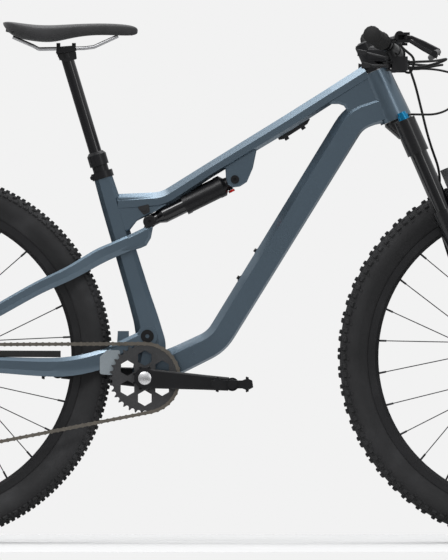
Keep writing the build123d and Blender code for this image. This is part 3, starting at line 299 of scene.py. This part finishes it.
def tube(bm, stations, steps=8, shares=FLANKS):
    """Faceted tube along smoothed stations of (x, y, z, width, height), in mm."""
    rings = []
    for n in range((len(stations) - 1) * steps + 1):
        t = n / steps
        ahead = between(stations, min(t + 0.05, len(stations) - 1))
        behind = between(stations, max(t - 0.05, 0))
        way = (ahead[0] - behind[0], ahead[2] - behind[2])
        rings.append(section(between(stations, t), way, shares))
    rings_to_mesh(bm, rings)


def mix(p, q, t):
    return [a + (b - a) * t for a, b in zip(p, q)]


def bent(bm, stations, shares=FLANKS, steps=6):
    """Faceted tube of straight runs; a station's sixth value is how far its corner is rounded."""
    rings = []
    last = len(stations) - 1
    for i, station in enumerate(stations):
        here, reach = station[:5], station[5]
        if i in (0, last):
            other = stations[1 if i == 0 else last - 1]
            ahead = 1 if i == 0 else -1
            way = (ahead * (other[0] - here[0]), ahead * (other[2] - here[2]))
            rings.append(section(here, way, shares))
            continue
        ends = []
        for other in (stations[i - 1], stations[i + 1]):
            run = math.hypot(other[0] - here[0], other[2] - here[2])
            ends.append(mix(here, other[:5], reach / run))
        for n in range(steps + 1):
            t = n / steps
            first, second = mix(ends[0], here, t), mix(here, ends[1], t)
            way = (second[0] - first[0], second[2] - first[2])
            rings.append(section(mix(first, second, t), way, shares))
    rings_to_mesh(bm, rings)


def inset(outline, depth):
    """Outline moved inward by depth, for either winding."""
    area = sum(p[0] * q[1] - q[0] * p[1] for p, q in zip(outline, outline[1:] + outline[:1]))
    turn = 1 if area > 0 else -1
    out = []
    for i, (x, z) in enumerate(outline):
        (px, pz), (nx, nz) = outline[i - 1], outline[(i + 1) % len(outline)]
        a, b = Vector((x - px, z - pz)).normalized(), Vector((nx - x, nz - z)).normalized()
        na, nb = Vector((-a.y, a.x)) * turn, Vector((-b.y, b.x)) * turn
        bisect = (na + nb) / max(0.3, 1 + na.dot(nb))
        out.append((x + bisect.x * depth, z + bisect.y * depth))
    return out


def wedge(bm, outline, y0, y1, lean, depth):
    """Side-view outline extruded from y0 to y1, its outer face drawn in by lean over depth."""
    step = depth if y1 > y0 else -depth
    rings = [(outline, y0), (outline, y1 - step), (inset(outline, lean), y1)]
    rings_to_mesh(bm, [[(MM * x, MM * y, MM * z) for x, z in edge] for edge, y in rings])


def unite(name, builders, material, edge):
    """One solid skin from overlapping closed shells, with its edges eased."""
    shells = []
    for k, build in enumerate(builders):
        bm = bmesh.new()
        build(bm)
        shells.append(keep(f"{name}_{k}", bm, material))
    base = shells[0]
    for other in shells[1:]:
        mod = base.modifiers.new("join", "BOOLEAN")
        mod.operation = "UNION"
        mod.solver = "EXACT"
        mod.object = other
    settle(base)
    for other in shells[1:]:
        bpy.data.objects.remove(other)
    weld = base.modifiers.new("weld", "WELD")
    weld.merge_threshold = 0.05 * MM
    ease = base.modifiers.new("ease", "BEVEL")
    ease.width = edge * MM
    ease.segments = 3
    ease.limit_method = "ANGLE"
    ease.angle_limit = math.radians(18)
    ease.harden_normals = True
    settle(base)
    base.name = base.data.name = name
    return base


def bar(bm, p, q, r, r2=None, sides=32):
    """Round bar between two points, in mm."""
    a, b = Vector(p) * MM, Vector(q) * MM
    way = (b - a).normalized()
    across = way.orthogonal().normalized()
    other = way.cross(across)
    rings = []
    for centre, radius in ((a, r), (b, r if r2 is None else r2)):
        turn = [2 * math.pi * k / sides for k in range(sides)]
        rings.append([centre + (across * math.cos(k) + other * math.sin(k)) * radius * MM for k in turn])
    rings_to_mesh(bm, rings)


def slab(bm, outline, y0, y1):
    """Side-view outline extruded across, in mm."""
    rings_to_mesh(bm, [[(MM * x, MM * y, MM * z) for x, z in outline] for y in (y0, y1)])


# ------------------------------------------------------------------ front frame
# bent tubes: x, y, z, width, height, reach of the rounded corner
DOWN = [(336.0, 0, 878.0, 50, 54, 0), (258.2, 0, 851.0, 54, 56, 26), (-17.0, 0, 403.0, 62, 53, 24),
        (-95.8, 0, 365.0, 57, 56, 12), (-140.0, 0, 348.0, 50, 60, 0)]
TOP = [(-214.0, 0, 680.0, 38, 36, 0), (-123.0, 0, 686.0, 43, 32, 20),
       (-29.8, 0, 746.0, 50, 29, 10), (130.2, 0, 843.0, 48, 32, 10),
       (210.2, 0, 894.0, 46, 31, 10), (284.0, 0, 940.0, 44, 33, 0)]
SEAT_TUBE = [(*on_seat(-51), 37, 37, 0), (*on_seat(-110), 38, 41, 10),
             (*on_seat(-200), 38, 43, 10), (*on_seat(-300), 38, 46, 10),
             (*on_seat(-350), 40, 50, 10), (-146.0, 0, 395.0, 44, 58, 12), (-158.0, 0, 330.0, 46, 58, 0)]
# side-view outlines of the webs at the head, the seat tube and the shock's front eye: x, z
WEB = [(208, 878), (228, 878), (238, 874.5), (243, 867), (243, 858), (238, 850), (262, 826),
       (274, 830), (294, 835), (326, 842), (300, 940), (262, 930), (206, 896)]
GUSSET = [(-214, 692), (-128, 692), (-106, 690), (-110, 682), (-144, 660), (-176, 644),
          (-190, 626), (-214, 620)]
SEAT_WEB = [(-206, 690), (-138, 690), (-142, 674), (-178, 652), (-206, 640)]
SHOCK_EAR = [(0, 762), (66, 798), (56, 750), (44, 722), (30, 713), (16, 711), (6, 717), (2, 730)]
frame_shells = [
    lambda bm: bent(bm, DOWN, (0.85, 0.5, 0.7, 0.4)),
    lambda bm: bent(bm, TOP, (0.25, 0.6, 0.3, 0.5)),
    lambda bm: bent(bm, SEAT_TUBE, (0.55, 0.55, 0.5, 0.5)),
    lambda bm: bar(bm, on_head(538), on_head(643), 32.5, 28.5, 48),
    lambda bm: wedge(bm, WEB, 0, -21, 5, 4), lambda bm: wedge(bm, WEB, -0.5, 21, 5, 4),
    lambda bm: wedge(bm, GUSSET, -14.5, -18.5, 2.5, 1.5),
    lambda bm: wedge(bm, GUSSET, 14.5, 18.5, 2.5, 1.5),
    lambda bm: slab(bm, SEAT_WEB, -17, 17),
    lambda bm: wedge(bm, SHOCK_EAR, -13.5, -19, 2, 1.5),
    lambda bm: wedge(bm, SHOCK_EAR, 13.5, 19, 2, 1.5),
    lambda bm: bar(bm, (BB_X, -36.5, BB_Z), (BB_X, 36.5, BB_Z), 24.0, None, 40),
    lambda bm: bar(bm, (PIVOT_X, -21.5, PIVOT_Z), (PIVOT_X, 21.5, PIVOT_Z), 21.0, None, 36)]
front_frame = unite("frame_skin", frame_shells, SLOTS["frame_paint"], 1.8)
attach(front_frame, "frame")
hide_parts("front_frame")

# ------------------------------------------------------------------ rear triangle
# the left stays, front to back: x, y, z, width, height
STAY = [(-190, 28, 600.5, 11, 30), (-220, 29, 587.5, 12, 30), (-254, 32, 572, 13, 31),
        (-310, 41, 540, 13, 28), (-374, 47.5, 510, 14, 26), (-446, 57, 470, 14, 25),
        (-520, 70, 428, 12, 24), (-578, 79, 394, 10, 24)]
TIP = [(-212, 606), (-150, 636.5), (-144, 631), (-148, 610), (-157, 595), (-168, 590), (-212, 577)]
CHAINSTAY = [(-150, 33, 414, 20, 26), (-165, 33, 409, 20, 30), (-205, 37, 388, 18, 34),
             (-245, 41, 368, 11, 38), (-326, 45.5, 352, 14, 38), (-446, 60, 356, 15, 32),
             (-520, 72, 361, 12, 29), (-570, 79, 366, 10, 28)]
YOKE = [(-216, 392), (-214, 424), (-192, 424), (-192, 396), (-202, 384)]
DROPOUT = [(-545, 352), (-548, 384), (-566, 410), (-598, 394), (-620, 380), (-618, 356), (-592, 346)]
HANGER = [(-604, 358), (-580, 356), (-588, 322), (-606, 322)]
rear_shells = [lambda bm: slab(bm, YOKE, -36, 36), lambda bm: slab(bm, HANGER, -84, -77)]


def on_side(stations, side):
    return [(x, side * y, *rest) for x, y, *rest in stations]


for side in (-1, 1):
    rear_shells += [
        lambda bm, k=side: tube(bm, on_side(STAY, k), 5, (0.3, 0.7, 0.3, 0.6)),
        lambda bm, k=side: tube(bm, on_side(CHAINSTAY, k), 5, (0.4, 0.6, 0.5, 0.5)),
        lambda bm, k=side: wedge(bm, TIP, k * 21, k * 33.5, 6, 5),
        lambda bm, k=side: bar(bm, (PIVOT_X, k * 22, PIVOT_Z), (PIVOT_X, k * 43, PIVOT_Z), 20.0),
        lambda bm, k=side: wedge(bm, DROPOUT, k * 74, k * 84, 2, 1.5)]
rear = unite("rear_triangle_skin", rear_shells, SLOTS["frame_paint"], 1.2)
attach(rear, "swingarm")
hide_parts("rear_triangle")


# ------------------------------------------------------------------ tyres
CASING_R, CASING_WIDE, CASING_TALL = 340.6, 28.2, 27.0
BEAD = [(18.5, 318.0), (15.6, 311.2), (11.0, 308.0)]
AROUND = 180


def casing(t):
    """Point and outward normal of the tyre's carcass at turn t of its section, as (y, r)."""
    y, r = CASING_WIDE * math.sin(t), CASING_R + CASING_TALL * math.cos(t)
    ny, nr = math.sin(t) / CASING_WIDE, math.cos(t) / CASING_TALL
    size = math.hypot(ny, nr)
    return y, r, ny / size, nr / size


def knob(bm, x, angle, t, long, wide, tall, skew=0.0):
    """Tapered tread block standing on the carcass."""
    y, r, ny, nr = casing(t)
    around = Vector((-math.sin(angle), 0, math.cos(angle)))
    out = Vector((math.cos(angle), 0, math.sin(angle)))
    up = out * nr + Vector((0, ny, 0))
    across = Vector((0, nr, 0)) - out * ny
    base = Vector((x, 0, AXLE_Z)) + out * r + Vector((0, y, 0))
    rings = []
    for lift, k in ((-1.2, 1.0), (tall * 0.82, 0.84), (tall, 0.72)):
        centre = base + up * lift
        corner = []
        for u, v in ((-1, -1), (1, -1), (1, 1), (-1, 1)):
            along = around * (u * long / 2 * k + v * skew)
            corner.append((centre + along + across * v * wide / 2 * k) * MM)
        rings.append(corner)
    rings_to_mesh(bm, rings)


def tyre(name, x, pitch_count, rows):
    """Carcass with rows of knobs: (every nth pitch, its phase, shift, turn, long, wide, tall, skew)."""
    bm = bmesh.new()
    turns = [math.radians(a) for a in range(-116, 117, 8)]
    profile = [(y, r) for y, r, ny, nr in map(casing, turns)]
    profile += BEAD + [(-y, r) for y, r in reversed(BEAD)]
    rings = []
    for k in range(AROUND):
        a = 2 * math.pi * k / AROUND
        across, up = math.cos(a), math.sin(a)
        rings.append([(MM * (x + r * across), MM * y, MM * (AXLE_Z + r * up)) for y, r in profile])
    rings_to_mesh(bm, rings, closed=True)
    for face in bm.faces:
        face.smooth = True
    first = len(bm.faces)
    for k in range(pitch_count):
        a = 2 * math.pi * k / pitch_count
        for every, phase, shift, t, long, wide, tall, skew in rows:
            if k % every != phase:
                continue
            for side in (-1, 1):
                knob(bm, x, a + shift / 360.0, math.radians(t) * side, long, wide, tall, skew * side)
    count = len(bm.faces)
    obj = keep(name, bm, SLOTS["tyre"])
    for face in list(obj.data.polygons)[first:count]:
        face.use_smooth = False
    return obj


front_tyre = tyre("front_tyre_rubber", AXLE_FRONT, 126, [
    (1, 0, 0.0, 52, 10.5, 9.0, 4.6, 0.0), (2, 0, 0.0, 36, 8.0, 7.0, 4.0, 0.6),
    (2, 1, 0.0, 12, 10.0, 8.0, 4.3, 0.8),
    (2, 0, 4.0, 12, 8.0, 7.0, 4.3, -0.8), (2, 1, 4.0, 68, 5.0, 5.0, 1.6, 0.0)])
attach(front_tyre, "front_wheel")
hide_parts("front_tyre")
rear_tyre = tyre("rear_tyre_rubber", AXLE_REAR, 192, [
    (2, 0, 0.0, 52, 11.0, 8.0, 4.0, 0.0), (2, 1, 0.0, 56, 6.0, 5.5, 3.2, 0.0),
    (2, 0, 6.0, 33, 8.0, 7.0, 3.8, 0.6),
    (1, 0, 0.0, 10, 8.0, 7.5, 4.0, 0.6)])
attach(rear_tyre, "rear_wheel")
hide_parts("rear_tyre")

# ------------------------------------------------------------------ saddle
# x, half width, top z at the centre, crown drop at the edge, underside z
SADDLE = [(-444, 20, 1041, 2, 1036), (-438, 40, 1043, 3, 1026), (-425, 58, 1042.5, 5, 1012),
          (-400, 69, 1039, 8, 1005), (-372, 69, 1036, 10, 1001), (-345, 62, 1036, 11, 1000),
          (-318, 50, 1037.5, 11, 1006), (-290, 38, 1039, 10, 1012), (-255, 29, 1040, 9, 1015),
          (-220, 23, 1039.5, 9, 1014), (-192, 19, 1037, 9, 1013), (-178, 13, 1033, 7, 1015),
          (-174, 6, 1028, 4, 1019)]
UNDER = (1.0, 0.93, 0.75, 0.4, 0.0, -0.4, -0.75, -0.93, -1.0)
SKIRT = 0.42
bm = bmesh.new()
rings = []
for x, w, top, drop, under in SADDLE:
    ring = []
    for n in range(14):
        f = -1 + 2 * n / 13
        edge = abs(f) ** 3.2
        z = top - drop * edge - 1.6 * math.exp(-(f * 3.4) ** 2)
        ring.append((x, w * math.sin(f * math.pi / 2), z))
    for f in UNDER:
        edge = abs(f) == 1.0
        low = under + (top - drop - under) * (SKIRT if edge else 0.0) + (1 - abs(f)) * 9
        ring.append((x, w * f * (1.005 if edge else 0.98), low))
    rings.append([tuple(MM * c for c in p) for p in ring])
rings_to_mesh(bm, rings)
saddle = keep("saddle_pad", bm, SLOTS["saddle_skin"])
rounder = saddle.modifiers.new("round", "SUBSURF")
rounder.levels = rounder.render_levels = 2
settle(saddle)
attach(saddle, "seatpost")
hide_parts("saddle_cover")

# ------------------------------------------------------------------ grips
BAR_RUN, BAR_STRAIGHT = 318.0, 62.0
BAR_X, BAR_Z = 341.0, 984.0
SWEEP, RISE = math.tan(math.radians(9)), math.tan(math.radians(5))


def on_bar(y):
    """Point of the handlebar's centre line at a given distance out, in mm."""
    out = abs(y) - BAR_STRAIGHT
    return (BAR_X - out * SWEEP, y, BAR_Z + out * RISE)


def turned(bm, p, q, profile, sides=48, lobes=0, depth=0.0):
    """Turned shape along p to q from (share of the length, radius) pairs, in mm."""
    a, b = Vector(p) * MM, Vector(q) * MM
    way = (b - a).normalized()
    across = way.orthogonal().normalized()
    other = way.cross(across)
    rings = []
    for share, radius in profile:
        ring = []
        for k in range(sides):
            turn = 2 * math.pi * k / sides
            r = (radius + depth * math.cos(lobes * turn)) * MM
            ring.append(a.lerp(b, share) + (across * math.cos(turn) + other * math.sin(turn)) * r)
        rings.append(ring)
    rings_to_mesh(bm, rings)


bm = bmesh.new()
for side in (-1, 1):
    profile = [(0.0, 14.5), (0.004, 17.6), (0.07, 18.0), (0.08, 16.2)]
    for n in range(22):
        f = 0.09 + n * 0.038
        profile += [(f, 15.1), (f + 0.006, 16.3), (f + 0.026, 16.4), (f + 0.032, 15.2)]
    profile += [(0.93, 16.2), (0.945, 17.4), (0.985, 17.6), (1.0, 15.6)]
    turned(bm, on_bar(side * 252), on_bar(side * 380), profile, 56, 14, 0.25)
grips = keep("grip_sleeves", bm, SLOTS["rubber"])
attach(grips, "steering")
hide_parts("grips")

# ------------------------------------------------------------------ small fittings
SILVER = brushed("bright_alloy", (0.6, 0.6, 0.61), 0.25, 1.0)


def fitting(name, body, material, bars):
    bm = bmesh.new()
    for p, q, r, r2 in bars:
        bar(bm, p, q, r, r2, 24)
    obj = keep(name, bm, material)
    edge = obj.modifiers.new("edges", "BEVEL")
    edge.width = 0.3 * MM
    edge.limit_method = "ANGLE"
    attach(obj, body)


def valve(x, angle):
    """Bars of one valve: stem, core and lock nut, standing inward from the rim."""
    out = (math.cos(math.radians(angle)), math.sin(math.radians(angle)))
    rim, neck, tip, nut = [(x + out[0] * r, 0, AXLE_Z + out[1] * r) for r in (291, 262, 254, 286)]
    return [(rim, neck, 2.9, 2.9), (neck, tip, 2.0, 1.2), (rim, nut, 5, 5)]


fitting("front_valve", "front_wheel", SLOTS["black_metal"], valve(AXLE_FRONT, 96.4))
fitting("rear_valve", "rear_wheel", SLOTS["black_metal"], valve(AXLE_REAR, 91.5))
crank_cap = [((BB_X, -74.0, BB_Z), (BB_X, -75.2, BB_Z), 13.5, 13.0)]
fitting("crank_rings", "crank", SILVER, crank_cap)
ring_bolts = []
BOLT_CIRCLE = 22.8
for k in range(8):
    a = math.radians(22.5 + 45 * k)
    x, z = BB_X + BOLT_CIRCLE * math.cos(a), BB_Z + BOLT_CIRCLE * math.sin(a)
    ring_bolts.append(((x, -52.9, z), (x, -54.6, z), 3.0, 2.8))
fitting("ring_bolts", "crank", SLOTS["black_metal"], ring_bolts)
screws = []
BOTTLE_BOSSES = ((63.8, 583.4), (29.8, 529.0))
for x, z in BOTTLE_BOSSES:
    screws.append(((x - 1.4, 0, z + 0.9), (x - 5.4, 0, z + 3.4), 4.2, 3.6))
    screws.append(((x + 4, 0, z - 2.5), (x - 1.6, 0, z + 1.0), 2.4, 2.4))
yoke = []
for side in (-1, 1):
    yoke.append(((SHOCK_X, side * 15, SHOCK_Z), (SHOCK_X, side * 26, SHOCK_Z), 12.5, 12.0))
    yoke.append(((SHOCK_X, side * 24, SHOCK_Z - 3), (SHOCK_X - 7.5, side * 24, SHOCK_Z - 25), 8.0, 8.0))
fitting("shock_yoke", "swingarm", SLOTS["black_metal"], yoke)
fitting("bottle_screws", "frame", SLOTS["black_metal"], screws)

# ------------------------------------------------------------------ bevelled CAD nodes
BEVELS = {
    1.6: ("fork_crown", "fork_lowers"),
    1.2: ("crank_drive_arm", "crank_left_arm", "thumb_lever_bodies"),
    1.0: ("stem", "front_caliper", "rear_caliper", "derailleur_body"),
    0.8: ("brake_masters", "brake_lever_right", "brake_lever_left", "chainstay_protector"),
    0.6: ("pedal_right", "pedal_left", "shock_can", "seat_clamp", "saddle_clamp", "shift_lever_up",
          "shift_lever_down", "remote_lever", "pivot_cover"),
    0.3: ("chainstay_guard",)}
for width, node in [(width, node) for width, group in BEVELS.items() for node in group]:
    mod = frame["nodes"][node].modifiers.new("edges", "BEVEL")
    mod.width = width * MM
    mod.segments = 2
    mod.limit_method = "ANGLE"
    mod.angle_limit = math.radians(35)
    mod.harden_normals = True

# ------------------------------------------------------------------ stage, light, camera
def area(name, place, aim, size, power):
    """Soft rectangular light at place, facing aim."""
    light = bpy.data.lights.new(name, "AREA")
    light.shape = "RECTANGLE"
    light.size, light.size_y = size
    light.energy = power
    obj = bpy.data.objects.new(name, light)
    obj.location = place
    obj.rotation_euler = (Vector(aim) - Vector(place)).to_track_quat("-Z", "Y").to_euler()
    bpy.context.scene.collection.objects.link(obj)
    return obj


floor_bm = bmesh.new()
corners = [(-2.6, -1.2, 0), (2.6, -1.2, 0), (2.6, 1.2, 0), (-2.6, 1.2, 0)]
floor_bm.faces.new([floor_bm.verts.new(p) for p in corners])
floor_mat = Nodes("studio_floor", (0.5, 0.5, 0.5), 0.9, Specular_IOR_Level=0.0)
floor_mat.ramp(floor_mat.noise(3, 2), [(0.3, (0.495, 0.495, 0.495)), (0.7, (0.505, 0.505, 0.505))])
floor = keep("studio_floor", floor_bm, floor_mat.mat)

# the backdrop is one plain tone to the camera; everything else sees a room brighter overhead
world = bpy.data.worlds.new("studio")
bpy.context.scene.world = world
world.use_nodes = True
nodes, wire = world.node_tree.nodes, world.node_tree.links.new
plain = nodes["Background"]
plain.inputs["Color"].default_value = (0.888, 0.888, 0.888, 1)
room = nodes.new("ShaderNodeBackground")
sky = nodes.new("ShaderNodeTexCoord")
split = nodes.new("ShaderNodeSeparateXYZ")
tone = nodes.new("ShaderNodeMapRange")
tone.inputs["From Min"].default_value, tone.inputs["From Max"].default_value = -0.1, 0.9
tone.inputs["To Min"].default_value, tone.inputs["To Max"].default_value = 0.30, 1.5
wire(sky.outputs["Generated"], split.inputs["Vector"])
wire(split.outputs["Z"], tone.inputs["Value"])
wire(tone.outputs["Result"], room.inputs["Strength"])
room.inputs["Color"].default_value = (0.98, 0.99, 1.0, 1)
path = nodes.new("ShaderNodeLightPath")
pick = nodes.new("ShaderNodeMixShader")
wire(path.outputs["Is Camera Ray"], pick.inputs["Fac"])
wire(room.outputs["Background"], pick.inputs[1])
wire(plain.outputs["Background"], pick.inputs[2])
wire(pick.outputs["Shader"], nodes["World Output"].inputs["Surface"])
area("key", (-1.6, -3.2, 3.4), (0, 0, 0.6), (2.6, 0.8), 90)
area("fill", (2.6, -3.6, 1.6), (0, 0, 0.5), (0.8, 2.4), 18)
area("top", (0, 0.2, 3.2), (0, 0, 0.5), (3.0, 1.2), 60)

bpy.context.scene.view_settings.view_transform = "Standard"
# side view from far off, so depth hardly changes the size of things
VIEW_FAR, VIEW_X, VIEW_Z = 36.0, -0.0018, 0.526
camera = bpy.data.cameras.new("camera")
camera.lens = 1157.1
camera.sensor_width = 36.0
camera.clip_end = 200.0
eye = bpy.data.objects.new("camera", camera)
eye.location = (VIEW_X, -VIEW_FAR, VIEW_Z)
eye.rotation_euler = (math.radians(90), 0, 0)
bpy.context.scene.collection.objects.link(eye)
bpy.context.scene.camera = eye

bpy.context.view_layer.update()
